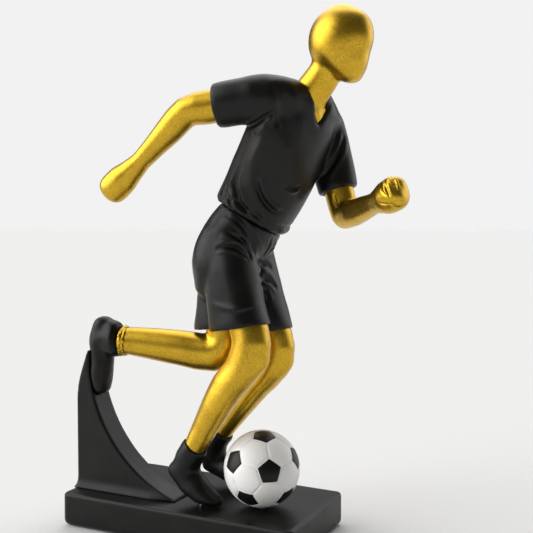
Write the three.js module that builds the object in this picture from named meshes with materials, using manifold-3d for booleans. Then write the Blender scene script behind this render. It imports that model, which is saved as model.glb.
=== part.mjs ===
// A figure trophy: a faceless footballer running over a ball, on a plinth with a curved rear support.
// Millimetres. +X is the way the player runs, +Y the player's left, +Z up, and z = 0 the shelf.
import * as THREE from "three";
import { mergeVertices } from "three/addons/utils/BufferGeometryUtils.js";
import Module from "manifold-3d";

const wasm = await Module();
wasm.setup();

const at = (x, y, z) => new THREE.Vector3(x, y, z);
const between = (a, b, part) => a.clone().lerp(b, part);

const DOME_STEPS = 3;

// Driving dimensions.
const GAP = 0.3; // glue line round every part that sits in or on another
const PLINTH = { length: 152, width: 77, height: 20, corner: 4, edge: 1.4, foot: 3 };
const PAD = { length: 132, width: 58, corner: 4, thick: 1.8, proud: 0.4 };
const SUPPORT = { back: -74.8, near: -25, far: -8.5, sweep: 85, sink: 2, centreX: 19, horn: 86 };
const BALL = { radius: 21.9, x: 44, y: -8.5 };
const PIN = { thin: 1.1, stout: 2 }; // radii of the steel pins that join the castings

const DECK = PLINTH.height;
const SUPPORT_MIDDLE = (SUPPORT.near + SUPPORT.far) / 2;
const LEFT = at(0, 1, 0);
const DOWN = at(0, 0, -1);
const CHEST_LEFT = at(0.26, 0.95, -0.15); // the chest is turned and tipped towards the trailing arm
const DRAPE = at(0.17, -0.05, -1).normalize(); // the way the hems of the two front shorts legs face
const SKIN_BELOW_CLOTH = 0.8;
const HEM = { part: 1.07, lift: 0.2 }; // how far down the spine the jersey ends, and how its right side rises

// Where the joints of the body are.
const JOINT = {
  crown: at(88.5, -3, 281),
  skullBase: at(81, -3, 266),
  nape: at(71, -2, 253),
  waist: at(35, 0, 190),
  pelvis: at(23, 0, 166),
  rightShoulder: at(53, -28, 249),
  rightElbow: at(12.5, -37, 243.5),
  rightWrist: at(-20, -36, 216),
  rightKnuckles: at(-42, -36, 199.5),
  leftShoulder: at(66.5, 27, 238.5),
  leftElbow: at(81, 27, 186),
  leftWrist: at(107.5, 3, 193.2),
  leftKnuckles: at(124, -6, 198.4),
  rightHip: at(27, -14, 172),
  rightKnee: at(45, -20, 108),
  rightAnkle: at(3.4, -21, 47),
  leftHip: at(28, 13, 170),
  leftKnee: at(46, 15, 101.2),
  leftAnkle: at(-1.4, 17.5, 47),
  rearHip: at(9, 1, 164),
  rearKnee: at(16, 1, 106),
  rearAnkle: at(-50, -17.5, 111.7),
};

const GOLD = { color: 0xc79f2b, roughness: 0.35, metalness: 0.4 };
const BLACK = { color: 0x1d1d1c, roughness: 0.55, metalness: 0 };
const WHITE = { color: 0xe8e6e0, roughness: 0.4, metalness: 0 };
const FELT = { color: 0x101512, roughness: 0.95, metalness: 0 };
const STEEL = { color: 0x8d9095, roughness: 0.4, metalness: 0.9 };

// One oval across a limb. It is 2 * wide from side to side, and reaches front and back of its centre.
const oval = (centre, wide, front, back = front, side = LEFT) => ({ centre, wide, front, back, side });

// The ring a limb has between its ovals, with the directions it is drawn in.
function ringAt(centre, along, side, size) {
  const forward = along.clone().normalize();
  const across = side.clone().addScaledVector(forward, -side.dot(forward)).normalize();
  return { centre, forward, across, ahead: forward.clone().cross(across), size };
}

// The same ring carried on by a rounded end: turn goes from 0 at the limb to 1 at the tip.
function domeRing(ring, length, turn) {
  const angle = (turn * Math.PI) / 2;
  const centre = ring.centre.clone().addScaledVector(ring.forward, length * Math.sin(angle));
  return { ...ring, centre, size: ring.size.clone().multiplyScalar(Math.cos(angle)) };
}

// A closed skin over a chain of ovals, listed from the body outwards, whose front is along x side.
// round gives the length of the domes on its two ends, grow the room to leave round it, and plane the
// direction all its ovals face, when they don't follow the bends of the chain.
function skin(ovals, { round = [0, 0], grow = 0, around = 20, steps = 2, plane } = {}) {
  const curve = (pick) => new THREE.CatmullRomCurve3(ovals.map(pick), false, "catmullrom");
  const centres = curve((o) => o.centre);
  const sides = curve((o) => o.side);
  const sizes = curve((o) => at(o.wide + grow, o.front + grow, o.back + grow));
  const count = (ovals.length - 1) * steps;
  const rings = Array.from({ length: count + 1 }, (_, i) => {
    const t = i / count;
    const along = plane ?? centres.getTangent(t);
    return ringAt(centres.getPoint(t), along, sides.getPoint(t), sizes.getPoint(t));
  });
  const first = rings[0];
  const last = rings[count];
  const [startDome, endDome] = round.map((length) => (length ? length + grow : 0));
  for (let i = 1; i < DOME_STEPS; i++) {
    if (startDome) rings.unshift(domeRing(first, -startDome, i / DOME_STEPS));
    if (endDome) rings.push(domeRing(last, endDome, i / DOME_STEPS));
  }
  const tips = [
    first.centre.clone().addScaledVector(first.forward, -(startDome || grow)),
    last.centre.clone().addScaledVector(last.forward, endDome || grow),
  ];
  return solid(ringMesh(rings, tips, around));
}

// The triangles of a chain of rings closed at both ends by a fan to its tip.
function ringMesh(rings, tips, around) {
  const points = [];
  for (const { centre, across, ahead, size } of rings) {
    for (let j = 0; j < around; j++) {
      const angle = (2 * Math.PI * j) / around;
      const depth = Math.sin(angle) > 0 ? size.y : size.z;
      points.push(
        centre
          .clone()
          .addScaledVector(across, size.x * Math.cos(angle))
          .addScaledVector(ahead, depth * Math.sin(angle)),
      );
    }
  }
  const end = rings.length - 1;
  const tipIndex = points.length;
  const faces = [];
  for (let j = 0; j < around; j++) {
    const next = (j + 1) % around;
    for (let i = 0; i < end; i++) {
      const [a, b] = [i * around + j, i * around + next];
      faces.push(a, b, b + around, a, b + around, a + around);
    }
    faces.push(tipIndex, next, j, tipIndex + 1, end * around + j, end * around + next);
  }
  return new THREE.BufferGeometry().setFromPoints([...points, ...tips]).setIndex(faces);
}

// A geometry as a solid that can be joined and cut. Triangles that have no area are dropped.
function solid(geometry) {
  const bare = new THREE.BufferGeometry();
  bare.setAttribute("position", geometry.getAttribute("position"));
  if (geometry.index) bare.setIndex(geometry.index);
  const merged = mergeVertices(bare, 1e-4);
  const index = merged.index.array;
  const kept = [];
  for (let i = 0; i < index.length; i += 3) {
    const [a, b, c] = index.slice(i, i + 3);
    if (a !== b && b !== c && c !== a) kept.push(a, b, c);
  }
  const vertProperties = merged.getAttribute("position").array;
  return new wasm.Manifold(new wasm.Mesh({ numProp: 3, vertProperties, triVerts: new Uint32Array(kept) }));
}

const join = (...solids) => wasm.Manifold.union(solids);

// A straight rod from one point to another, grown on all sides to make the hole for it.
function rod(from, to, radius, grow = 0) {
  const span = to.clone().sub(from);
  const turn = new THREE.Quaternion().setFromUnitVectors(at(0, 1, 0), span.clone().normalize());
  const geometry = new THREE.CylinderGeometry(radius + grow, radius + grow, span.length() + 2 * grow, 12);
  geometry.applyQuaternion(turn).translate(...between(from, to, 0.5));
  return solid(geometry);
}

// A rectangle with rounded corners, seen from above.
function roundedRectangle(length, width, corner) {
  const outline = new THREE.Shape();
  const [x, y] = [length / 2 - corner, width / 2 - corner];
  outline.absarc(x, y, corner, 0, Math.PI / 2);
  outline.absarc(-x, y, corner, Math.PI / 2, Math.PI);
  outline.absarc(-x, -y, corner, Math.PI, 1.5 * Math.PI);
  outline.absarc(x, -y, corner, 1.5 * Math.PI, 2 * Math.PI);
  return outline;
}

// A slab with rounded plan corners from one height to another.
function slab({ length, width, corner }, bottom, top) {
  const outline = roundedRectangle(length, width, corner);
  const options = { depth: top - bottom, bevelEnabled: false, curveSegments: 4 };
  return solid(new THREE.ExtrudeGeometry(outline, options).translate(0, 0, bottom));
}

// A plan outline made larger all round.
const grownPlan = ({ length, width, corner }, grow) => ({
  length: length + 2 * grow,
  width: width + 2 * grow,
  corner: corner + grow,
});

// The plinth: its top edge is softly rounded, its foot more so, and the felt pad is let into its base.
function plinth() {
  const { height, edge, foot } = PLINTH;
  const layer = (round, bottom, top) => {
    const { length, width, corner } = grownPlan(PLINTH, -round);
    const bevel = { bevelEnabled: true, bevelSize: round, bevelThickness: round, bevelSegments: 2 };
    const options = { depth: top - bottom - 2 * round, curveSegments: 3, ...bevel };
    const outline = roundedRectangle(length, width, corner);
    return solid(new THREE.ExtrudeGeometry(outline, options).translate(0, 0, bottom + round));
  };
  const block = join(layer(foot, PAD.proud, height - edge), layer(edge, height / 2, height));
  return block.subtract(slab(grownPlan(PAD, GAP), -1, PAD.thick + GAP));
}

// The rear support: an upright back, and a front that sweeps down in a quarter circle to the plinth.
function rearSupport() {
  const { back, near, far, sweep, sink, centreX, horn } = SUPPORT;
  const centreZ = DECK + sweep - sink;
  const floor = DECK + GAP;
  const toeAngle = Math.acos((centreZ - floor - 1) / sweep);
  const outline = new THREE.Shape();
  outline.moveTo(back, floor);
  outline.lineTo(centreX - sweep * Math.sin(toeAngle), floor);
  outline.absarc(centreX, centreZ, sweep, 1.5 * Math.PI - toeAngle, Math.PI, true);
  outline.lineTo(centreX - sweep + 0.5, DECK + horn);
  outline.bezierCurveTo(back + 7, DECK + 0.92 * horn, back, DECK + 0.82 * horn, back, DECK + 0.62 * horn);
  const options = { depth: far - near, bevelEnabled: false, curveSegments: 16 };
  const geometry = new THREE.ExtrudeGeometry(outline, options);
  return solid(geometry.rotateX(Math.PI / 2).translate(0, far, 0));
}

// The skull is drawn in level ovals from the crown to the chin, and the neck runs back from it.
function skullAndNeck(grow = 0) {
  const { crown, skullBase, nape } = JOINT;
  const level = (ahead, up, wide, front, back) =>
    oval(crown.clone().add(at(ahead, 0, up)), wide, front, back);
  const skull = [
    level(0.8, 17.2, 6.4, 7.6, 7),
    level(0.8, 13.4, 11, 13.6, 12.4),
    level(0.6, 7.4, 14.6, 17.4, 16.4),
    level(0.2, 0, 16, 18.4, 17.6),
    level(0.3, -8, 15, 16, 16.4),
    level(3, -15, 12, 11.8, 13.4),
    level(6.6, -20.8, 7.6, 5, 7),
  ];
  const neck = [
    oval(skullBase.clone().add(at(3, 0, 5)), 9.6, 9.5, 9),
    oval(between(skullBase, nape, 0.2), 9.4, 9.5, 9.2),
    oval(between(skullBase, nape, 0.7), 10, 9.5, 10),
    oval(between(skullBase, nape, 1.3), 11, 10, 11),
  ];
  return join(
    skin(skull, { round: [1.8, 2.4], grow, around: 26, plane: DOWN }),
    skin(neck, { grow }),
  );
}

// The wedge that the V of the collar takes out of the front of the chest.
function collarWedge(grow = 0) {
  const { nape, waist } = JOINT;
  const spine = nape.clone().sub(waist).normalize();
  const across = CHEST_LEFT.clone().addScaledVector(spine, -CHEST_LEFT.dot(spine)).normalize();
  const forward = across.clone().cross(spine);
  const outline = new THREE.Shape();
  outline.moveTo(-10.5 - grow, 5);
  outline.lineTo(0.5, -12 - 2 * grow);
  outline.lineTo(13 + grow, 5);
  const geometry = new THREE.ExtrudeGeometry(outline, { depth: 24, bevelEnabled: false });
  const frame = new THREE.Matrix4().makeBasis(across, spine, forward).setPosition(nape);
  return solid(geometry.applyMatrix4(frame));
}

// The trunk, from the base of the neck down to the hem of the jersey.
function trunk(grow = 0) {
  const { nape, waist } = JOINT;
  const rib = (part, wide, front, back) =>
    oval(between(nape, waist, part), wide, front, back, CHEST_LEFT.clone().lerp(LEFT, part));
  const ribs = [
    rib(0, 13, 8, 11),
    rib(0.1, 24, 13, 13.5),
    rib(0.24, 30, 17, 20),
    rib(0.48, 30, 21.8, 21),
    rib(0.74, 27, 23.6, 22),
    rib(0.95, 25.5, 22.8, 22.5),
    rib(HEM.part, 25, 21.2, 21.6),
  ];
  const up = nape.clone().sub(waist).normalize().addScaledVector(LEFT, HEM.lift).normalize();
  const hem = up.dot(between(nape, waist, HEM.part));
  return skin(ribs, { round: [3, 2], grow, around: 28 }).trimByPlane([...up], hem - grow);
}

// The shoulders, from one to the other behind the collar.
function yoke() {
  const { nape, rightShoulder, leftShoulder } = JOINT;
  const row = (centre, deep, down, up) => oval(centre, deep, down, up, at(1, 0, 0));
  return skin([
    row(rightShoulder, 12, 12, 13),
    row(nape.clone().add(at(-6, -5, -5.5)), 13.5, 14, 12.5),
    row(nape.clone().add(at(-3, 11, -8)), 13, 14, 11),
    row(leftShoulder, 12, 12, 12),
  ], { round: [4, 4], steps: 3 });
}

// The two sleeves run from inside the trunk, over the shoulders, to their hems.
function rightSleeve() {
  const { nape, rightShoulder, rightElbow } = JOINT;
  return skin([
    oval(between(nape, rightShoulder, 0.35), 12, 14, 9),
    oval(between(nape, rightShoulder, 0.9), 13.5, 15, 13),
    oval(between(rightShoulder, rightElbow, 0.25), 12.5, 12.5, 12.5),
    oval(between(rightShoulder, rightElbow, 0.6), 12, 12, 12),
  ], { round: [6, 0] });
}

function leftSleeve() {
  const { nape, leftShoulder, leftElbow } = JOINT;
  return skin([
    oval(between(nape, leftShoulder, 0.35), 12, 10, 12),
    oval(between(nape, leftShoulder, 0.92), 12, 13, 12),
    oval(between(leftShoulder, leftElbow, 0.4), 12, 12.5, 12),
    oval(between(leftShoulder, leftElbow, 0.71), 12, 11.2, 12),
  ], { round: [6, 0] });
}

// Ovals along a bone, each as how far down the bone it is, then its three sizes.
const alongBone = (from, to, rows) => rows.map(([part, ...size]) => oval(between(from, to, part), ...size));

// The seat and the three legs of the shorts.
function shortsBody() {
  const { waist, pelvis, rightHip, rightKnee, leftHip, leftKnee, rearHip, rearKnee } = JOINT;
  const seat = [
    oval(between(waist, pelvis, -0.1), 22, 16.5, 15.5),
    oval(between(waist, pelvis, 0.45), 26.5, 18.5, 20.5),
    oval(pelvis, 29, 15.5, 22.6),
    oval(between(waist, pelvis, 1.5), 28, 12, 19.6),
    oval(between(waist, pelvis, 1.9), 22, 8, 13),
  ];
  const right = alongBone(rightHip, rightKnee, [
    [-0.1, 14, 13, 17],
    [0.25, 15.5, 12, 19.6],
    [0.55, 15, 11.6, 22],
    [0.745, 14.5, 12.6, 24],
  ]);
  const left = alongBone(leftHip, leftKnee, [
    [-0.1, 14, 11, 16],
    [0.25, 15.5, 8.6, 18],
    [0.55, 15, 10.2, 18],
    [0.745, 14, 10.6, 17],
  ]);
  const rear = alongBone(rearHip, rearKnee, [
    [-0.1, 9, 9, 8],
    [0.3, 12.5, 12, 12.5],
    [0.74, 14, 15, 19],
  ]);
  return join(
    skin(seat, { round: [0, 8], around: 22 }),
    skin(right, { round: [6, 0], plane: DRAPE }),
    skin(left, { round: [6, 0], plane: DRAPE }),
    skin(rear, { round: [6, 0] }),
  );
}

// The right arm trails behind, and ends in a smooth closed hand.
function rightArm(grow = 0) {
  const { rightShoulder, rightElbow, rightWrist, rightKnuckles } = JOINT;
  return skin([
    oval(between(rightShoulder, rightElbow, 0.4), 8.8, 9),
    oval(between(rightShoulder, rightElbow, 0.75), 9, 9.2, 9.4),
    oval(rightElbow, 8.6, 8.8, 8),
    oval(between(rightElbow, rightWrist, 0.35), 7.8, 7.8),
    oval(between(rightElbow, rightWrist, 0.95), 6, 5.6),
    oval(between(rightWrist, rightKnuckles, 0.5), 8.2, 9, 8.6),
    oval(between(rightWrist, rightKnuckles, 0.85), 8, 9.2, 8.4),
  ], { round: [0, 5.5], grow });
}

// The left arm is bent forward across the body, and ends in a fist.
function leftArm(grow = 0) {
  const { leftShoulder, leftElbow, leftWrist, leftKnuckles } = JOINT;
  const inward = at(0.7, 0.7, 0);
  const forearm = skin([
    oval(leftElbow.clone().add(at(-1, 1, 1)), 8, 8, 8, inward),
    oval(between(leftElbow, leftWrist, 0.3), 8, 8, 7.4, inward),
    oval(between(leftElbow, leftWrist, 0.7), 6.8, 6.8, 6.4, inward),
    oval(leftWrist, 6, 6, 5.8, inward),
    oval(between(leftWrist, leftKnuckles, 0.45), 8.8, 9.4, 8.8, inward),
    oval(between(leftWrist, leftKnuckles, 0.85), 8.4, 9.4, 8.6, inward),
  ], { round: [5, 4.5], grow });
  const upper = skin([
    oval(between(leftShoulder, leftElbow, 0.62), 8.6, 8.6),
    oval(between(leftShoulder, leftElbow, 0.85), 8.4, 8.6),
    oval(leftElbow, 7.6, 7.8, 8),
  ], { round: [0, 4], grow });
  return join(forearm, upper);
}

// A leg runs from just inside its hem, over the knee, to just inside its boot.
function leg({ hip, knee, ankle, thigh, shin }, grow = 0) {
  return skin([...alongBone(hip, knee, thigh), ...alongBone(knee, ankle, shin)], { grow });
}

// Their sizes, as alongBone takes them.
const THIGH = [
  [0.7, 10.8, 10.6, 11.2],
  [0.88, 11, 11.2, 11],
];
const SHIN = [
  [0.12, 10.6, 8.4, 12.6],
  [0.32, 10, 6.4, 13.8],
  [0.52, 9, 5.6, 12.2],
  [0.74, 7, 5.6, 9.4],
  [0.95, 6.4, 5.8, 6.8],
];
const LEFT_THIGH = [
  [0.7, 10.4, 8.6, 11],
  [0.88, 10.6, 9.6, 11],
];
const LEFT_SHIN = [
  [0.12, 10.2, 7.6, 10.8],
  [0.32, 9.6, 6.4, 12.2],
  [0.52, 8.6, 6, 10.6],
  [0.74, 6.8, 5.8, 7.6],
  [0.95, 6.2, 6, 6.2],
];
const REAR_SHIN = [
  [0.12, 10.8, 12.5, 10.4],
  [0.4, 10, 11.2, 10.2],
  [0.7, 8.8, 9.2, 9.6],
  [0.97, 7.8, 7.6, 8.2],
];
const LEG = {
  right: { hip: JOINT.rightHip, knee: JOINT.rightKnee, ankle: JOINT.rightAnkle, thigh: THIGH, shin: SHIN },
  left: { hip: JOINT.leftHip, knee: JOINT.leftKnee, ankle: JOINT.leftAnkle, thigh: LEFT_THIGH, shin: LEFT_SHIN },
  rear: { hip: JOINT.rearHip, knee: JOINT.rearKnee, ankle: JOINT.rearAnkle, thigh: THIGH, shin: REAR_SHIN },
};

// A plain boot: a shaft round the ankle joined to a foot that runs from the heel to the toe.
function boot(shaft, foot, grow = 0) {
  return join(
    skin(shaft, { round: [1, 4], grow, steps: 1 }),
    skin(foot, { round: [5, 3], grow, steps: 1 }),
  );
}

// The right boot stands on its toes, with the heel well off the plinth.
function rightBoot() {
  const { rightKnee, rightAnkle } = JOINT;
  const foot = (ahead, up, ...size) => oval(rightAnkle.clone().setZ(DECK).add(at(ahead, 0, up)), ...size);
  return boot(
    [
      oval(between(rightKnee, rightAnkle, 0.89), 8, 7.6, 8),
      oval(rightAnkle, 8, 8, 8.6),
      foot(-4.5, 18, 7.5, 9, 7.5),
    ],
    [
      foot(-8.5, 19.5, 6.5, 6, 5.5),
      foot(1, 13, 7.6, 8.5, 8),
      foot(9, 6.8, 8, 7, 6),
      foot(15.5, 4.2, 7, 4.2, 3.6),
      foot(18.5, 3.6, 5.4, 3, 2.9),
    ],
  );
}

// The left boot is nearly flat, with the heel a little up.
function leftBoot() {
  const { leftKnee, leftAnkle } = JOINT;
  const foot = (ahead, up, ...size) => oval(leftAnkle.clone().setZ(DECK).add(at(ahead, 0, up)), ...size);
  return boot(
    [
      oval(between(leftKnee, leftAnkle, 0.87), 8, 7.6, 8),
      oval(leftAnkle, 8, 8, 8),
      foot(-1.5, 15.5, 7.5, 9, 7.5),
    ],
    [
      foot(-3, 13.6, 6.5, 6.5, 6.2),
      foot(9, 10, 7.6, 8.5, 6.5),
      foot(19, 5.9, 8, 6, 5),
      foot(27, 4, 7, 4, 3.5),
      foot(30, 3.5, 5.4, 3, 2.9),
    ],
  );
}

// The rear boot points straight down, with its sole against the support.
function rearBoot(grow = 0) {
  const { rearAnkle } = JOINT;
  const part = (ahead, up, ...size) => oval(rearAnkle.clone().add(at(ahead, 0, up)), ...size);
  return boot(
    [
      part(1.5, 0.4, 9, 9, 9.8),
      part(-4, 0.4, 8.4, 9.6, 10.4),
      part(-9, 1.6, 7, 9, 9.8),
    ],
    [
      part(-9.8, 9, 6.5, 5.5, 5),
      part(-10.4, -2, 7.4, 7, 6.4),
      part(-10.8, -14, 7.8, 7, 6.6),
      part(-11, -24, 7.8, 6, 6),
      part(-11, -30.5, 6.5, 4.8, 5),
    ],
    grow,
  );
}

// The beaded ring round the rear ankle.
function ankleRing() {
  const { rearAnkle, rearKnee } = JOINT;
  const forward = rearKnee.clone().sub(rearAnkle).normalize();
  const turn = new THREE.Quaternion().setFromUnitVectors(at(0, 0, 1), forward);
  const bead = (along, radius, thick) =>
    solid(
      new THREE.TorusGeometry(radius, thick, 6, 18)
        .applyQuaternion(turn)
        .translate(...rearAnkle.clone().addScaledVector(forward, along)),
    );
  return join(bead(4.6, 8.3, 1.3), bead(6.4, 8.1, 1.1));
}

// The ball rests on the plinth beside the right toe.
function ball() {
  const geometry = new THREE.IcosahedronGeometry(BALL.radius, 5);
  return solid(geometry.translate(BALL.x, BALL.y, DECK + GAP + BALL.radius));
}

// Every casting, cut clear of what sits in it.
function castings() {
  const cloth = join(trunk(), yoke(), rightSleeve(), leftSleeve());
  const bib = trunk(-SKIN_BELOW_CLOTH).intersect(collarWedge());
  const legs = (grow) => join(...Object.values(LEG).map((one) => leg(one, grow)));
  return {
    felt_pad: { body: slab(PAD, 0, PAD.thick), finish: FELT },
    plinth: { body: plinth(), finish: BLACK },
    rear_support: { body: rearSupport().subtract(rearBoot(GAP)), finish: BLACK },
    ball: { body: ball(), finish: WHITE },
    head: { body: join(skullAndNeck(), bib), finish: GOLD },
    jersey: {
      body: cloth
        .subtract(skullAndNeck(GAP))
        .subtract(collarWedge(GAP))
        .subtract(rightArm(GAP))
        .subtract(leftArm(GAP)),
      finish: BLACK,
    },
    shorts: { body: shortsBody().subtract(trunk(GAP)).subtract(legs(GAP)), finish: BLACK },
    right_arm: { body: rightArm(), finish: GOLD },
    left_arm: { body: leftArm(), finish: GOLD },
    right_leg: { body: leg(LEG.right), finish: GOLD },
    left_leg: { body: leg(LEG.left), finish: GOLD },
    rear_leg: { body: leg(LEG.rear), finish: GOLD },
    right_boot: { body: rightBoot().subtract(leg(LEG.right, GAP)), finish: BLACK },
    left_boot: { body: leftBoot().subtract(leg(LEG.left, GAP)), finish: BLACK },
    rear_boot: { body: rearBoot().subtract(leg(LEG.rear, GAP)), finish: BLACK },
    ankle_ring: { body: ankleRing().subtract(leg(LEG.rear, GAP)).subtract(rearBoot(GAP)), finish: GOLD },
  };
}

// The steel pins: where each starts and ends, how thick it is, and the two castings it joins.
function pins() {
  const j = JOINT;
  const { thin, stout } = PIN;
  const limb = (from, to, start, end) => [between(from, to, start), between(from, to, end), thin];
  const upright = (x, y, top, bottom, radius) => [at(x, y, DECK + top), at(x, y, DECK - bottom), radius];
  const waistPin = (y) => [j.waist.clone().add(at(-1, y, 6)), j.waist.clone().add(at(-8, y, -15)), stout];
  const standing = (ankle, ahead, top) => upright(ankle.x + ahead, ankle.y, top, 8, thin);
  return {
    neck_pin: [...limb(j.skullBase, j.nape, 0.5, 2), "head", "jersey"],
    right_arm_pin: [...limb(j.rightShoulder, j.rightElbow, 0.2, 0.65), "jersey", "right_arm"],
    left_arm_pin: [...limb(j.leftShoulder, j.leftElbow, 0.4, 0.8), "jersey", "left_arm"],
    right_waist_pin: [...waistPin(-9), "jersey", "shorts"],
    left_waist_pin: [...waistPin(9), "jersey", "shorts"],
    right_thigh_pin: [...limb(j.rightHip, j.rightKnee, 0.5, 0.88), "shorts", "right_leg"],
    left_thigh_pin: [...limb(j.leftHip, j.leftKnee, 0.5, 0.88), "shorts", "left_leg"],
    rear_thigh_pin: [...limb(j.rearHip, j.rearKnee, 0.5, 0.88), "shorts", "rear_leg"],
    right_ankle_pin: [...limb(j.rightKnee, j.rightAnkle, 0.82, 1.09), "right_leg", "right_boot"],
    left_ankle_pin: [...limb(j.leftKnee, j.leftAnkle, 0.82, 1.09), "left_leg", "left_boot"],
    rear_ankle_pin: [...limb(j.rearKnee, j.rearAnkle, 0.86, 1.1), "rear_leg", "rear_boot"],
    right_foot_pin: [...standing(j.rightAnkle, 8, 9), "right_boot", "plinth"],
    left_foot_pin: [...standing(j.leftAnkle, 19, 8), "left_boot", "plinth"],
    rear_foot_pin: [
      j.rearAnkle.clone().add(at(-8, 0, -26)),
      j.rearAnkle.clone().add(at(-20.5, 0, -30)),
      thin,
      "rear_boot",
      "rear_support",
    ],
    ball_pin: [...upright(BALL.x, BALL.y, 12, 9, stout), "ball", "plinth"],
    front_dowel: [...upright(-40, SUPPORT_MIDDLE, 12, 10, stout), "rear_support", "plinth"],
    rear_dowel: [...upright(-64, SUPPORT_MIDDLE, 20, 10, stout), "rear_support", "plinth"],
  };
}

// The whole trophy: the castings with their pin holes drilled, and the pins.
function trophy() {
  const parts = castings();
  for (const [name, [from, to, radius, ...joined]] of Object.entries(pins())) {
    for (const casting of joined) {
      parts[casting].body = parts[casting].body.subtract(rod(from, to, radius, GAP));
    }
    parts[name] = { body: rod(from, to, radius), finish: STEEL };
  }
  return parts;
}

// A named mesh of one solid.
function meshOf(name, { body, finish }) {
  const { vertProperties, triVerts } = body.getMesh();
  const geometry = new THREE.BufferGeometry();
  geometry.setAttribute("position", new THREE.BufferAttribute(vertProperties, 3));
  geometry.setIndex(new THREE.BufferAttribute(triVerts, 1));
  geometry.computeVertexNormals();
  const mesh = new THREE.Mesh(geometry, new THREE.MeshStandardMaterial(finish));
  mesh.name = name;
  return mesh;
}

const group = new THREE.Group();
for (const [name, part] of Object.entries(trophy())) {
  group.add(meshOf(name, part));
}

export default group;
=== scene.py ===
"""The looks of a figure trophy: a gold and black footballer running over a ball, on a black plinth.

Every casting starts from its CAD node. The node's mesh is remeshed finely and smoothed, its folds, creases
and fingers are raised or sunk along strokes, and it gets a painted-resin material.
Lengths are in metres unless a name says otherwise, and strokes are laid out in percent of a node's box.
"""

import itertools
import math

import bmesh
import bpy
import numpy as np
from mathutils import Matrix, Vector, noise
from mathutils.bvhtree import BVHTree


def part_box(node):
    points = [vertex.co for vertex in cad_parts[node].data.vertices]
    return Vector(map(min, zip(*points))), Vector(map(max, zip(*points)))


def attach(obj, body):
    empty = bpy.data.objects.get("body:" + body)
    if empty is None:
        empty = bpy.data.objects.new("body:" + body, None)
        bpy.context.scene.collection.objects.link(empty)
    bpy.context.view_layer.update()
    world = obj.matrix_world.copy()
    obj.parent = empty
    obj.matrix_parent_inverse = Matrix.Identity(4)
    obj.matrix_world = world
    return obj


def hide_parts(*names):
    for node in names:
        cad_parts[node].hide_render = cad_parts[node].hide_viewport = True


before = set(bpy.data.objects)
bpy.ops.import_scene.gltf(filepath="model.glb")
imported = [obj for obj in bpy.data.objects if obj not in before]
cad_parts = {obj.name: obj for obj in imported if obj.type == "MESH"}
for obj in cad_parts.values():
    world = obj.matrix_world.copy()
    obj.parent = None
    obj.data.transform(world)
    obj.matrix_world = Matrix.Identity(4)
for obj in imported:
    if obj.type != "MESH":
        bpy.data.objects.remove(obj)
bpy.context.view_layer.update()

MM = 0.001

BLUR_STEP = 0.5  # how far one round of blur carries a value towards its neighbours' mean
BLUR_ROUNDS = 4  # how many rounds smooth over the length of one voxel
BEND_SCALE = 4  # a point a quarter of a voxel proud of its neighbours' mean has a bend of 1
RIM_BEND = 0.6  # how sharply the surface turns where a rim begins
RIM_SOFT = 0.3  # how much more sharply it turns where the rim is held fully
RIM_SPREAD = 4  # how many rounds of blur spread that hold to the points about it
RIM_HOLD = 3  # how much the hold is raised after it is spread


# ---------------------------------------------------------------- meshes

def new_object(name, mesh):
    """An object of that mesh, in the scene."""
    piece = bpy.data.objects.new(name, mesh)
    bpy.context.scene.collection.objects.link(piece)
    return piece


def points_of(mesh):
    """The mesh's points as an array."""
    points = np.empty(len(mesh.vertices) * 3)
    mesh.vertices.foreach_get("co", points)
    return points.reshape(-1, 3)


def set_points(mesh, points):
    """The mesh's points moved to those of the array."""
    mesh.vertices.foreach_set("co", points.ravel())
    mesh.update()


def normals_of(mesh):
    """The outward directions at the mesh's points."""
    normals = np.empty(len(mesh.vertices) * 3)
    mesh.vertex_normals.foreach_get("vector", normals)
    return normals.reshape(-1, 3)


def edges_of(mesh):
    """The pairs of points that the mesh's edges join."""
    edges = np.empty(len(mesh.edges) * 2, int)
    mesh.edges.foreach_get("vertices", edges)
    return edges.reshape(-1, 2)


def neighbour_mean(values, edges):
    """What each point's neighbours have on average."""
    count = len(values)
    first, second = edges.T
    shares = np.bincount(edges.ravel(), minlength=count)
    columns = [
        np.bincount(first, column[second], count) + np.bincount(second, column[first], count)
        for column in values.T
    ]
    return np.stack(columns, 1) / np.maximum(shares, 1)[:, None]


def blurred(values, edges, rounds, free=1.0):
    """Values spread over the surface. A point that isn't free keeps its own."""
    for _ in range(rounds):
        values = values + BLUR_STEP * free * (neighbour_mean(values, edges) - values)
    return values


def rims(mesh, edges, voxel):
    """1 where the surface turns sharply outwards, as at a hem, falling to 0 away from it."""
    points = points_of(mesh)
    inward = neighbour_mean(points, edges) - points
    bend = -BEND_SCALE * np.sum(inward * normals_of(mesh), 1) / voxel
    sharp = np.clip((bend - RIM_BEND) / RIM_SOFT, 0, 1)[:, None]
    return np.clip(RIM_HOLD * blurred(sharp, edges, RIM_SPREAD), 0, 1)


def casting(name, node, voxel_mm, soft_mm, soft_below):
    """A fine smooth copy of a CAD node. Its facets go, but the rims of its upper part stay."""
    voxel = voxel_mm * MM
    piece = new_object(name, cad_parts[node].data.copy())
    remesh = piece.modifiers.new("remesh", "REMESH")
    remesh.mode = "VOXEL"
    remesh.voxel_size = voxel
    graph = bpy.context.evaluated_depsgraph_get()
    fine = bpy.data.meshes.new_from_object(piece.evaluated_get(graph))
    piece.modifiers.clear()
    piece.data = fine
    edges = edges_of(fine)
    points = points_of(fine)
    low, high = (corner.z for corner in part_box(node))
    upper = points[:, 2:] > low + soft_below * (high - low)
    free = 1 - rims(fine, edges, voxel) * upper
    rounds = math.ceil(BLUR_ROUNDS * (soft_mm / voxel_mm) ** 2)
    smooth = blurred(points, edges, rounds, free)
    smooth += blurred(points - smooth, edges, rounds, free)  # what smoothing took off the whole form
    set_points(fine, smooth)
    return finished(piece, node)


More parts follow.
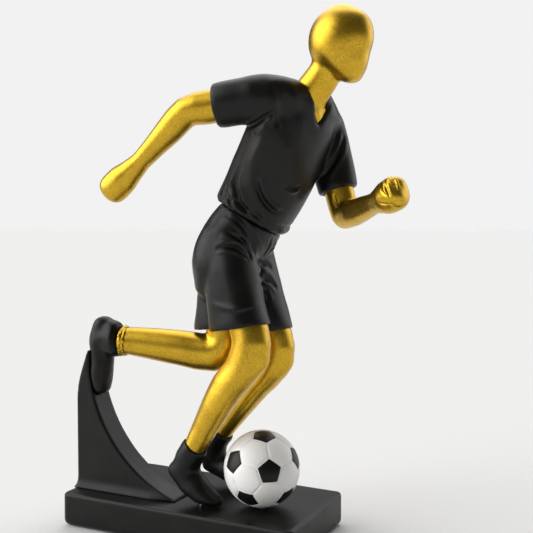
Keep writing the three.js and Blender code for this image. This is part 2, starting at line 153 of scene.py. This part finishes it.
def finished(piece, node):
    """The piece shaded smooth, riding on the figure's one body in place of its CAD node."""
    piece.data.polygons.foreach_set("use_smooth", np.ones(len(piece.data.polygons), bool))
    piece.data.update()
    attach(piece, "root")
    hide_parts(node)
    return piece


# ---------------------------------------------------------------- sculpting

BANK_TALL = 0.3  # how tall the banks of a crease are against its depth
BANK_OUT = 2  # how many half-widths from its middle they stand
STROKE_REACH = 4  # how many half-widths from its middle a stroke is felt
STROKE_FADE = 0.7  # below 1, a stroke keeps its height for longer before it ends


# Each profile gives the height of a stroke at x half-widths from its middle, to either side.
def crease(x):
    """A valley with slightly raised banks."""
    return BANK_TALL * np.exp(-((x - BANK_OUT) ** 2)) - np.exp(-(x**2))


def ridge(x):
    """A rounded rise."""
    return np.exp(-(x**2))


def along(corners, steps=16):
    """Points of a smooth line through the corners, a Catmull-Rom spline."""
    corners = np.array(corners, float)
    ends = 2 * corners[[0, -1]] - corners[[1, -2]]
    knots = np.vstack([ends[:1], corners, ends[1:]])
    line = []
    for a, b, c, d in zip(knots, knots[1:], knots[2:], knots[3:]):
        for t in np.arange(steps) / steps:
            bend = (2 * a - 5 * b + 4 * c - d) * t * t + (3 * b - 3 * c + d - a) * t**3
            line.append(b + 0.5 * ((c - a) * t + bend))
    return np.array([*line, corners[-1]])


def places(node, percents):
    """Points given in percent of a node's box, as metres."""
    low, high = (np.array(corner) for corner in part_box(node))
    return low + (high - low) * np.array(percents, float) / 100


class Clay:
    """A piece whose surface can be raised and sunk."""

    def __init__(self, piece, node):
        self.mesh = piece.data
        self.node = node
        self.points = points_of(self.mesh)
        self.normals = normals_of(self.mesh)
        self.height = np.zeros(len(self.points))
        self.tree = BVHTree.FromObject(piece, bpy.context.evaluated_depsgraph_get())

    def stroke(self, profile, half_mm, tall_mm, *percents, open_ends=False):
        """A line on the surface, that wide to each side and that tall, fading to its ends unless open."""
        corners = [self.tree.find_nearest(place)[0] for place in places(self.node, percents)]
        line = along(corners)
        half = half_mm * MM
        reach = STROKE_REACH * half
        near = np.all((self.points > line.min(0) - reach) & (self.points < line.max(0) + reach), 1)
        chosen = np.flatnonzero(near)
        distances = np.linalg.norm(self.points[chosen][:, None] - line[None], axis=2)
        share = distances.argmin(1) / (len(line) - 1)
        fade = 1.0 if open_ends else np.sin(np.pi * share) ** STROKE_FADE
        x = distances.min(1) / half
        self.height[chosen] += tall_mm * MM * fade * profile(x) * (x < STROKE_REACH)

    def both_sides(self, profile, half_mm, tall_mm, *percents, open_ends=False):
        """The same stroke on the right side of the piece and on its left."""
        for side in (percents, [(x, 100 - y, z) for x, y, z in percents]):
            self.stroke(profile, half_mm, tall_mm, *side, open_ends=open_ends)

    def swell(self, reach_mm, tall_mm, *percents):
        """A rounded lump, or a dimple if it isn't tall but deep, round each of the places."""
        for place in places(self.node, percents):
            distance = np.linalg.norm(self.points - np.array(place), axis=1) / (reach_mm * MM)
            self.height += tall_mm * MM * np.exp(-(distance**2))

    def ripple(self, size_mm, tall_mm, seed):
        """Gentle unevenness all over."""
        shift = Vector((seed, 2 * seed, 3 * seed))
        scale = 1 / (size_mm * MM)
        waves = [noise.noise(Vector(point) * scale + shift) for point in self.points]
        self.height += tall_mm * MM * np.array(waves)

    def set(self, rounds=2):
        """The surface moved to its new height, and its finest steps softened."""
        edges = edges_of(self.mesh)
        height = blurred(self.height[:, None], edges, rounds)
        set_points(self.mesh, self.points + self.normals * height)


# ---------------------------------------------------------------- materials

class Graph:
    """A short way to lay out the nodes of one material."""

    def __init__(self, tree):
        self.tree = tree
        self.place = self.add("ShaderNodeTexCoord").outputs["Object"]

    def add(self, kind, **inputs):
        """A node with these inputs, each a constant or another node's output."""
        node = self.tree.nodes.new(kind)
        self.set(node, **inputs)
        return node

    def set(self, node, **inputs):
        """The node's inputs, each a constant or another node's output."""
        for key, value in inputs.items():
            self.feed(node.inputs[key.replace("_", " ")], value)

    def feed(self, socket, value):
        """A socket given a constant or another node's output."""
        if isinstance(value, bpy.types.NodeSocket):
            self.tree.links.new(value, socket)
        else:
            socket.default_value = value

    def noise(self, size_mm, detail=3.0, roughness=0.5):
        """Cloudy noise whose features are about that many millimetres across."""
        node = self.add("ShaderNodeTexNoise", Vector=self.place, Scale=1 / (size_mm * MM),
                        Detail=detail, Roughness=roughness)
        return node.outputs["Fac"]

    def ramp(self, value, *stops):
        """A value turned into colours. Each stop is its position and its colour."""
        node = self.tree.nodes.new("ShaderNodeValToRGB")
        self.tree.links.new(value, node.inputs["Fac"])
        elements = node.color_ramp.elements
        while len(elements) < len(stops):
            elements.new(0.5)
        for element, (position, colour) in zip(elements, stops):
            element.position = position
            element.color = (*colour, 1)
        return node.outputs["Color"]

    def span(self, value, low, high, start=0.0, end=1.0):
        """A value carried from one range to another."""
        node = self.tree.nodes.new("ShaderNodeMapRange")
        self.tree.links.new(value, node.inputs["Value"])
        for key, number in (("From Min", low), ("From Max", high), ("To Min", start), ("To Max", end)):
            node.inputs[key].default_value = number
        return node.outputs["Result"]

    def mix(self, share, first, second, blend="MIX"):
        """Two colours mixed."""
        node = self.tree.nodes.new("ShaderNodeMix")
        node.data_type = "RGBA"
        node.blend_type = blend
        for index, value in ((0, share), (6, first), (7, second)):
            self.feed(node.inputs[index], (*value, 1) if isinstance(value, tuple) else value)
        return node.outputs[2]

    def bump(self, *layers):
        """A normal from layers of height, each with its depth in millimetres."""
        normal = None
        for height, depth_mm in layers:
            node = self.add("ShaderNodeBump", Height=height, Strength=1.0, Distance=depth_mm * MM)
            if normal is not None:
                self.tree.links.new(normal, node.inputs["Normal"])
            normal = node.outputs["Normal"]
        return normal


def shader(name):
    """A new material, the layout of its nodes and its Principled shader."""
    material = bpy.data.materials.new(name)
    material.use_nodes = True
    return material, Graph(material.node_tree), material.node_tree.nodes["Principled BSDF"]


def gold_paint():
    """Metallic gold lacquer full of fine flakes, a little deeper where it pooled."""
    material, g, principled = shader("gold_paint")
    flakes = g.noise(0.55, detail=2, roughness=0.7)
    clouds = g.noise(9, detail=2)
    colour = g.ramp(clouds, (0.3, (0.47, 0.265, 0.009)), (0.7, (0.58, 0.345, 0.015)))
    colour = g.mix(g.span(flakes, 0.35, 0.7, 0, 0.6), colour, (0.86, 0.59, 0.08))
    colour = g.mix(g.span(flakes, 0.25, 0.45, 0.45, 0), colour, (0.26, 0.13, 0.003))
    g.set(principled, Base_Color=colour, Metallic=0.95,
           Roughness=g.span(flakes, 0.3, 0.7, 0.36, 0.25), Coat_Weight=0.03, Coat_Roughness=0.25,
           Normal=g.bump((g.noise(2.4), 0.03), (flakes, 0.07)))
    return material


def black_paint(name="black_paint", roughness=0.37):
    """Satin black resin paint with brush-fine unevenness and a brownish dusting."""
    material, g, principled = shader(name)
    clouds = g.noise(14, detail=4, roughness=0.6)
    grain = g.noise(0.5, detail=2)
    colour = g.ramp(clouds, (0.3, (0.004, 0.004, 0.004)), (0.75, (0.009, 0.0083, 0.0072)))
    g.set(principled, Base_Color=colour, Specular_IOR_Level=0.25,
           Roughness=g.span(clouds, 0.3, 0.7, roughness - 0.04, roughness + 0.05),
           Normal=g.bump((g.noise(5, detail=2), 0.06), (grain, 0.02)))
    return material


def white_paint():
    """White ball paint, a touch warm and slightly soiled."""
    material, g, principled = shader("ball_white")
    soil = g.noise(3.5, detail=5, roughness=0.65)
    colour = g.ramp(soil, (0.25, (0.8, 0.78, 0.74)), (0.42, (0.92, 0.91, 0.88)), (0.8, (0.94, 0.93, 0.91)))
    g.set(principled, Base_Color=colour, Roughness=0.42, Normal=g.bump((g.noise(1.1), 0.03)))
    return material


def felt():
    """Dark matted felt."""
    material, g, principled = shader("felt")
    fibre = g.noise(0.35, detail=6, roughness=0.75)
    colour = g.ramp(fibre, (0.3, (0.004, 0.006, 0.005)), (0.75, (0.016, 0.02, 0.018)))
    g.set(principled, Base_Color=colour, Roughness=0.95, Normal=g.bump((fibre, 0.3)))
    return material


def steel():
    """Drawn steel wire."""
    material, g, principled = shader("steel")
    scratch = g.noise(0.2, detail=4, roughness=0.7)
    colour = g.ramp(scratch, (0.3, (0.33, 0.34, 0.36)), (0.7, (0.5, 0.51, 0.53)))
    g.set(principled, Base_Color=colour, Metallic=0.9,
           Roughness=g.span(scratch, 0.3, 0.7, 0.3, 0.5), Normal=g.bump((scratch, 0.02)))
    return material


GOLD = gold_paint()
BLACK = black_paint()
BALL_WHITE = white_paint()
BALL_BLACK = black_paint("ball_black", 0.35)
FELT = felt()
STEEL = steel()
SLOTS = {"gold_paint": GOLD, "black_paint": BLACK}


def painted(piece, slot):
    """The piece in the material of that slot."""
    piece.data.materials.clear()
    piece.data.materials.append(SLOTS[slot])
    return piece


# ---------------------------------------------------------------- the figure

def shaped(node, voxel_mm, slot, soft_mm=2.2, soft_below=0.0):
    """A casting in its paint, with its clay to work on."""
    piece = painted(casting(node + "_casting", node, voxel_mm, soft_mm, soft_below), slot)
    return Clay(piece, node)


def head():
    """A blank egg of a head on a neck that runs down into the collar."""
    clay = shaped("head", 0.5, "gold_paint", soft_mm=2.8)
    clay.stroke(ridge, 2.2, 0.5, (57, 49, 34), (47, 50, 24), (39, 53, 15))
    clay.stroke(crease, 0.5, 0.5, (25, 1, 33), (32, 7, 25), (36, 20, 16), (37, 37, 8), (38, 47, 2))
    clay.stroke(ridge, 0.6, 0.7, (41, 66, 17), (42, 59, 11), (41, 52, 6), (40, 46, 2))
    clay.stroke(crease, 0.5, 0.4, (40, 64, 17), (40, 56, 11), (39, 49, 6))
    clay.set()


def jersey():
    """A loose jersey that blouses over the waist, its folds hanging from the arms and gathered behind."""
    clay = shaped("jersey", 0.6, "black_paint", soft_mm=2.6, soft_below=0.42)
    clay.ripple(16, 0.6, 1)
    armpit = (67, 14, 77), (64, 14, 74), (58, 14, 71), (48, 18, 69), (40, 24, 68)
    clay.stroke(crease, 1.2, 1.6, *armpit)
    clay.stroke(ridge, 2.0, 0.9, (66, 14, 72), (58, 14, 66), (50, 17, 63))
    clay.stroke(crease, 1.2, 1.0, (67, 14, 76), (66, 19, 71), (67, 19, 66))
    clay.stroke(crease, 4, 1.4, (66, 13, 93), (71, 16, 86), (72, 20, 78), (72, 24, 66), (72, 26, 54))
    clay.stroke(ridge, 4, 1.3, (66, 17, 73), (57, 17, 59), (48, 19, 44), (43, 22, 27))
    clay.both_sides(crease, 1.3, 1.8, (19, 29, 36), (14, 31, 29), (18, 26, 22), (24, 24, 19))
    clay.both_sides(crease, 1.6, 1.7, (35, 22, 44), (30, 23, 35), (32, 23, 27), (35, 23, 20), (39, 25, 15))
    clay.both_sides(ridge, 1.4, 0.8, (27, 24, 38), (24, 25, 30), (26, 24, 22))
    swag = (52, 20, 41), (49, 22, 33), (50, 25, 26), (53, 29, 20), (56, 34, 16), (60, 39, 15)
    clay.stroke(crease, 1.4, 1.8, *swag)
    clay.stroke(ridge, 1.6, 1.0, (54, 22, 36), (53, 25, 29), (55, 29, 22), (58, 34, 18), (61, 39, 18))
    clay.stroke(crease, 0.9, 1.2, (66, 32, 31), (69, 39, 30), (73, 45, 32))
    clay.stroke(ridge, 1.0, 0.9, (66, 35, 28), (69, 40, 28), (72, 45, 30))
    clay.stroke(crease, 1.5, 1.4, (56, 80, 44), (50, 78, 32), (50, 74, 22), (55, 68, 15))
    clay.stroke(crease, 1.3, 1.0, (74, 78, 52), (68, 78, 40), (64, 75, 30))
    clay.both_sides(crease, 1.0, 1.3, (24, 24, 26), (27, 24, 20), (31, 24, 15))
    clay.both_sides(crease, 1.0, 1.2, (37, 24, 20), (39, 25, 14), (41, 27, 10))
    clay.both_sides(crease, 1.1, 0.9, (45, 28, 15), (47, 31, 9), (50, 34, 6))
    hem_behind = (12, 50, 22), (14, 29, 24), (26, 24, 19), (35, 24, 15)
    hem_ahead = (42, 27, 10), (47, 33, 7), (51, 41, 4), (54, 52, 3)
    hem = hem_behind + hem_ahead
    clay.both_sides(ridge, 1.7, 0.9, *hem, open_ends=True)
    clay.both_sides(crease, 1.0, 0.6, *[(x, y, z + 5) for x, y, z in hem])
    clay.stroke(crease, 1.4, 1.7, (93, 82, 68), (90, 76, 56), (86, 73, 48), (79, 72, 39))
    clay.stroke(ridge, 1.2, 0.7, (94, 78, 68), (92, 72, 58), (87, 69, 49))
    clay.set()


def shorts():
    """Loose shorts, drawn in at the waist and creased from the hip and the crotch."""
    clay = shaped("shorts", 0.5, "black_paint", soft_mm=2.4)
    clay.ripple(14, 0.5, 2)
    clay.both_sides(crease, 1.2, 1.4, (57, 15, 91), (70, 15, 86), (78, 19, 79), (81, 29, 69), (81, 35, 59))
    clay.both_sides(crease, 1.0, 1.0, (66, 15, 91), (76, 17, 86), (83, 25, 76), (82, 39, 65))
    clay.both_sides(ridge, 1.3, 0.8, (62, 14, 90), (74, 15, 83), (80, 24, 73))
    clay.stroke(crease, 1.2, 1.8, (52, 6, 66), (64, 7, 68), (72, 12, 67), (77, 17, 63), (80, 22, 58))
    clay.stroke(ridge, 1.8, 1.2, (56, 8, 75), (68, 12, 73), (75, 17, 68), (80, 22, 61))
    clay.stroke(crease, 1.1, 1.4, (62, 12, 77), (74, 18, 72), (78, 22, 65), (82, 25, 58))
    clay.stroke(ridge, 1.6, 0.8, (45, 7, 28), (63, 2, 26), (78, 2, 25), (88, 10, 27), (93, 25, 28))
    clay.stroke(crease, 1.4, 1.2, (82, 35, 56), (75, 61, 54), (79, 73, 51))
    clay.stroke(ridge, 1.8, 1.0, (83, 34, 53), (77, 60, 49), (82, 73, 44))
    clay.stroke(crease, 1.4, 1.4, (84, 32, 49), (79, 61, 43), (85, 72, 35))
    clay.stroke(crease, 1.2, 1.0, (86, 30, 43), (79, 56, 35), (83, 57, 26))
    clay.stroke(crease, 1.1, 1.2, (90, 47, 74), (85, 53, 66), (77, 55, 59))
    clay.stroke(ridge, 1.8, 1.0, (90, 60, 73), (84, 66, 66), (76, 62, 58))
    clay.set()


def right_arm():
    """The trailing arm, ending in a smooth closed hand with a flat end."""
    shaped("right_arm", 0.4, "gold_paint")


def left_arm():
    """The bent arm, with a crease in the elbow and a clenched fist."""
    clay = shaped("left_arm", 0.35, "gold_paint", soft_mm=1.9)
    clay.stroke(crease, 0.8, 0.6, (16, 64, 69), (18, 64, 53), (22, 63, 41))
    clay.stroke(ridge, 0.9, 0.8, (22, 65, 49), (30, 60, 56), (41, 45, 52))
    clay.stroke(crease, 2.5, 0.5, (29, 53, 31), (42, 41, 38), (55, 28, 47), (67, 14, 55))
    clay.swell(4.0, 0.9, (84, 9, 88), (94, 17, 86), (95, 6, 60))
    clay.stroke(crease, 0.7, 0.8, (81, 10, 88), (85, 1, 70), (88, 1, 57))
    clay.stroke(crease, 0.6, 0.4, (78, 5, 70), (82, 1, 64), (86, 0, 58))
    clay.stroke(crease, 0.5, 0.5, (77, 6, 47), (81, 4, 45), (86, 3, 46))
    clay.stroke(crease, 0.7, 1.4, (87, 16, 96), (88, 9, 88), (91, 6, 79), (93, 6, 70))
    clay.stroke(crease, 0.6, 1.0, (87, 2, 47), (93, 7, 41), (99, 16, 48))
    clay.set(rounds=1)


# How far each knee stands out, in millimetres, and where it is.
KNEES = {
    "right_leg": (2.6, (100, 45, 68)),
    "left_leg": (2.2, (100, 45, 66)),
    "rear_leg": (0.8, (97, 40, 12)),
}


def legs():
    """The three bare legs, each with its knee cap."""
    for node, (tall_mm, knee) in KNEES.items():
        clay = shaped(node, 0.5, "gold_paint")
        clay.swell(7, tall_mm, knee)
        clay.set()


def boots():
    """Plain boots like thick socks, each with a soft edge round the ankle."""
    for seed, node in enumerate(("right_boot", "left_boot", "rear_boot")):
        clay = shaped(node, 0.35, "black_paint", soft_mm=2.6)
        clay.ripple(6, 0.35, 10 + seed)
        if node == "rear_boot":
            clay.swell(5, 1.6, (78, 30, 97), (78, 70, 97))  # from the heel over to the ankle
            clay.swell(6, 1.6, (97, 30, 58), (97, 70, 58))  # from the ankle down to the instep
            clay.swell(8, 2.2, (8, 50, 72))  # where the sole meets the tip of the support
        clay.set()


def ankle_ring():
    """The uneven double bead round the rear ankle."""
    clay = shaped("ankle_ring", 0.25, "gold_paint", soft_mm=0.5)
    clay.ripple(2.2, 0.7, 20)
    clay.ripple(1.0, 0.3, 21)
    clay.set()


# ---------------------------------------------------------------- the base

def rear_support():
    """The support, its foot flared out in a hollow curve where it was moulded to the plinth."""
    clay = shaped("rear_support", 0.6, "black_paint", soft_mm=1.6)
    foot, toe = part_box("rear_support")[0].z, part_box("rear_support")[1].x
    flare_up = 8 * MM
    flare_out = 2.6 * MM
    sunk = 0.5 * MM  # how far the foot goes into the plinth
    fade = 16 * MM  # how far behind its toe the flare is full
    least_level = 0.5  # a surface that faces less sideways than this is pushed out less
    share = np.clip(1 - (clay.points[:, 2] - foot) / flare_up, 0, 1)
    from_toe = np.clip((toe - clay.points[:, 0]) / fade, 0, 1)
    level = clay.normals * (1, 1, 0)
    sideways = np.maximum(np.linalg.norm(level, axis=1, keepdims=True), least_level)
    clay.points += level / sideways * (share**3 * from_toe * flare_out)[:, None]
    clay.points[:, 2] -= sunk * share**4
    clay.swell(7, 2.2, (8, 50, 97))  # the tip, where the rear boot rests on it
    clay.set()


def plinth():
    """The plinth, its faces a little uneven as cast resin is."""
    clay = shaped("plinth", 0.8, "black_paint", soft_mm=1.2)
    clay.ripple(30, 0.25, 30)
    clay.set()


BALL_FACING = Vector((0.607, -0.772, 0.188))  # where its first pentagon faces
SEAM_DEPTH = 0.45 * MM
SEAM_HALF = 0.5 * MM  # half of a seam's width
WHITE_MARGIN = 0.39 * MM  # how far inside its seams a pentagon turns black
SIDE_PARTS = 10  # how many parts each side of a panel is divided into
RINGS = 9  # how many rings a panel has round its middle
RING_SHARES = [math.sin(math.pi / 2 * ring / RINGS) for ring in range(RINGS + 1)]  # closer near the seams
PENTAGONS = 12


def icosahedron():
    """The twelve corners of an icosahedron, with one at the top and the next towards +Y."""
    ring = math.atan(0.5)
    corners = [(0, 0, 1), (0, 0, -1)]
    for i in range(10):
        angle = math.radians(90 + 36 * i)
        level = ring if i % 2 == 0 else -ring
        flat = math.cos(level)
        corners.append((flat * math.cos(angle), flat * math.sin(angle), math.sin(level)))
    return np.array(corners)


def ball_panels():
    """The middle and the corners of each of the ball's 12 pentagons, then of its 20 hexagons."""
    peaks = icosahedron()
    edge = np.linalg.norm(peaks[2] - peaks[0])
    near = np.linalg.norm(peaks[:, None] - peaks[None], axis=2) < 1.1 * edge

    def third(a, b):
        """The point a third of the way from one peak to another."""
        return (2 * peaks[a] + peaks[b]) / 3

    panels = []
    for a in range(PENTAGONS):
        panels.append((peaks[a], [third(a, b) for b in np.flatnonzero(near[a]) if b != a]))
    for a, b, c in itertools.combinations(range(PENTAGONS), 3):
        if near[a, b] and near[b, c] and near[a, c]:
            middle = (peaks[a] + peaks[b] + peaks[c]) / 3
            panels.append((middle, [third(i, j) for i, j in itertools.permutations((a, b, c), 2)]))
    return panels


def in_turn(middle, corners):
    """The corners in order round the middle, anticlockwise from outside."""
    outward = middle / np.linalg.norm(middle)
    across = corners[0] - outward * (corners[0] @ outward)
    across /= np.linalg.norm(across)
    ahead = np.cross(outward, across)
    return sorted(corners, key=lambda corner: math.atan2(corner @ ahead, corner @ across))


def panel_points(middle, corners, reach, radius):
    """A panel's points in rings, from its middle to its edge, where it sinks into the seams."""
    points = []
    for share in RING_SHARES:
        height = radius - SEAM_DEPTH * math.exp(-(((1 - share) * reach / SEAM_HALF) ** 2))
        for corner, following in zip(corners, corners[1:] + corners[:1]):
            for part in range(SIDE_PARTS):
                edge = corner + (following - corner) * part / SIDE_PARTS
                place = middle + (edge - middle) * share
                points.append(height * place / np.linalg.norm(place))
    return points


def ring_faces(inner, around):
    """The faces between a ring of points and the next one out."""
    outer = inner + around
    pairs = [(i, (i + 1) % around) for i in range(around)]
    return [(inner + i, outer + i, outer + j, inner + j) for i, j in pairs]


def ball_mesh(centre, radius):
    """A ball of 32 padded panels with sunken seams. The black pentagons keep a white margin."""
    points, faces, black = [], [], []
    for number, (middle, corners) in enumerate(ball_panels()):
        corners = in_turn(middle, corners)
        reach = np.linalg.norm((corners[0] + corners[1]) / 2 - middle) * radius
        around = len(corners) * SIDE_PARTS
        for ring, share in enumerate(RING_SHARES[1:]):
            faces += ring_faces(len(points) + ring * around, around)
            black += [number < PENTAGONS and (1 - share) * reach > WHITE_MARGIN] * around
        points += panel_points(middle, corners, reach, radius)
    turn = np.array(BALL_FACING.to_track_quat("Z", "Y").to_matrix())
    mesh = bpy.data.meshes.new("ball")
    mesh.from_pydata([tuple(point) for point in np.array(points) @ turn.T + np.array(centre)], [], faces)
    mesh.materials.append(BALL_WHITE)
    mesh.materials.append(BALL_BLACK)
    mesh.polygons.foreach_set("material_index", np.array(black, int))
    return mesh


def ball():
    """The football, as large as its CAD node and in the same place."""
    low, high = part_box("ball")
    mesh = ball_mesh((low + high) / 2, (high.z - low.z) / 2)
    piece = new_object("ball_casting", mesh)
    weld(mesh)
    finished(piece, "ball")


def weld(mesh):
    """Points in the same place made one."""
    cleaner = bmesh.new()
    cleaner.from_mesh(mesh)
    bmesh.ops.remove_doubles(cleaner, verts=cleaner.verts, dist=0.01 * MM)
    cleaner.to_mesh(mesh)
    cleaner.free()


head()
jersey()
shorts()
right_arm()
left_arm()
legs()
boots()
ankle_ring()
rear_support()
plinth()
ball()

for name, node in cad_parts.items():
    if name == "felt_pad" or name.endswith(("_pin", "_dowel")):
        node.data.materials.clear()
        node.data.materials.append(FELT if name == "felt_pad" else STEEL)


# ---------------------------------------------------------------- the studio

def light_patch(tree, towards, inner, outer, strength):
    """A soft round patch of light in that direction, from full at inner to none at outer degrees."""
    sky = tree.nodes.new("ShaderNodeTexCoord").outputs["Generated"]
    dot = tree.nodes.new("ShaderNodeVectorMath")
    dot.operation = "DOT_PRODUCT"
    tree.links.new(sky, dot.inputs[0])
    dot.inputs[1].default_value = Vector(towards).normalized()
    patch = tree.nodes.new("ShaderNodeMapRange")
    patch.interpolation_type = "SMOOTHSTEP"
    tree.links.new(dot.outputs["Value"], patch.inputs["Value"])
    patch.inputs["From Min"].default_value = math.cos(math.radians(outer))
    patch.inputs["From Max"].default_value = math.cos(math.radians(inner))
    patch.inputs["To Max"].default_value = strength
    return patch.outputs["Result"]


BACKDROP = 0.885  # how pale the studio looks
ROOM = 0.09  # how bright it is where no light hangs
FLOOR = (0.78, 0.777, 0.766)  # the floor's colour
FLOOR_REACH = 60  # how far it goes each way, in metres
LIGHTS = [  # direction, full within and none beyond these degrees, strength
    ((-0.78, -0.47, 0.45), 14, 46, 3.4),
    ((0.56, 0.83, 0.3), 8, 36, 1.5),
    ((-0.2, 0.5, 0.85), 12, 42, 2.2),
]


def ground():
    """A pale matt floor."""
    mesh = bpy.data.meshes.new("floor")
    corners = [(x * FLOOR_REACH, y * FLOOR_REACH, 0) for x, y in ((-1, -1), (1, -1), (1, 1), (-1, 1))]
    mesh.from_pydata(corners, [], [(0, 1, 2, 3)])
    floor = new_object("floor", mesh)
    material, g, principled = shader("floor")
    g.set(principled, Base_Color=(*FLOOR, 1), Roughness=1.0, Specular_IOR_Level=0.0)
    mesh.materials.append(material)


def sky():
    """A dim sky with patches of light that stand for softboxes. The camera sees an even backdrop."""
    world = bpy.data.worlds.new("studio")
    bpy.context.scene.world = world
    world.use_nodes = True
    tree = world.node_tree
    total = None
    for row in LIGHTS:
        patch = light_patch(tree, *row)
        add = tree.nodes.new("ShaderNodeMath")
        tree.links.new(patch, add.inputs[0])
        if total is None:
            add.inputs[1].default_value = ROOM
        else:
            tree.links.new(total, add.inputs[1])
        total = add.outputs["Value"]
    seen = tree.nodes.new("ShaderNodeLightPath").outputs["Is Camera Ray"]
    level = tree.nodes.new("ShaderNodeMix")
    tree.links.new(seen, level.inputs[0])
    tree.links.new(total, level.inputs[2])
    level.inputs[3].default_value = BACKDROP
    tree.links.new(level.outputs[0], tree.nodes["Background"].inputs["Strength"])
    tree.nodes["Background"].inputs["Color"].default_value = (1, 1, 1, 1)


LENS_MM = 56
SENSOR_MM = 36
CAMERA_PLACE = (0.2511, -0.4287, 0.1795)
LOOKS_DOWN = 2.64  # degrees below level
TURNED = 25.91  # degrees round from looking along +Y


def camera():
    """A view from the figure's right and a little ahead, looking slightly down."""
    lens = bpy.data.cameras.new("camera")
    lens.lens = LENS_MM
    lens.sensor_width = SENSOR_MM
    piece = bpy.data.objects.new("camera", lens)
    bpy.context.scene.collection.objects.link(piece)
    piece.location = CAMERA_PLACE
    piece.rotation_euler = (math.radians(90 - LOOKS_DOWN), 0, math.radians(TURNED))
    bpy.context.scene.camera = piece


ground()
sky()
camera()
bpy.context.scene.view_settings.view_transform = "Standard"
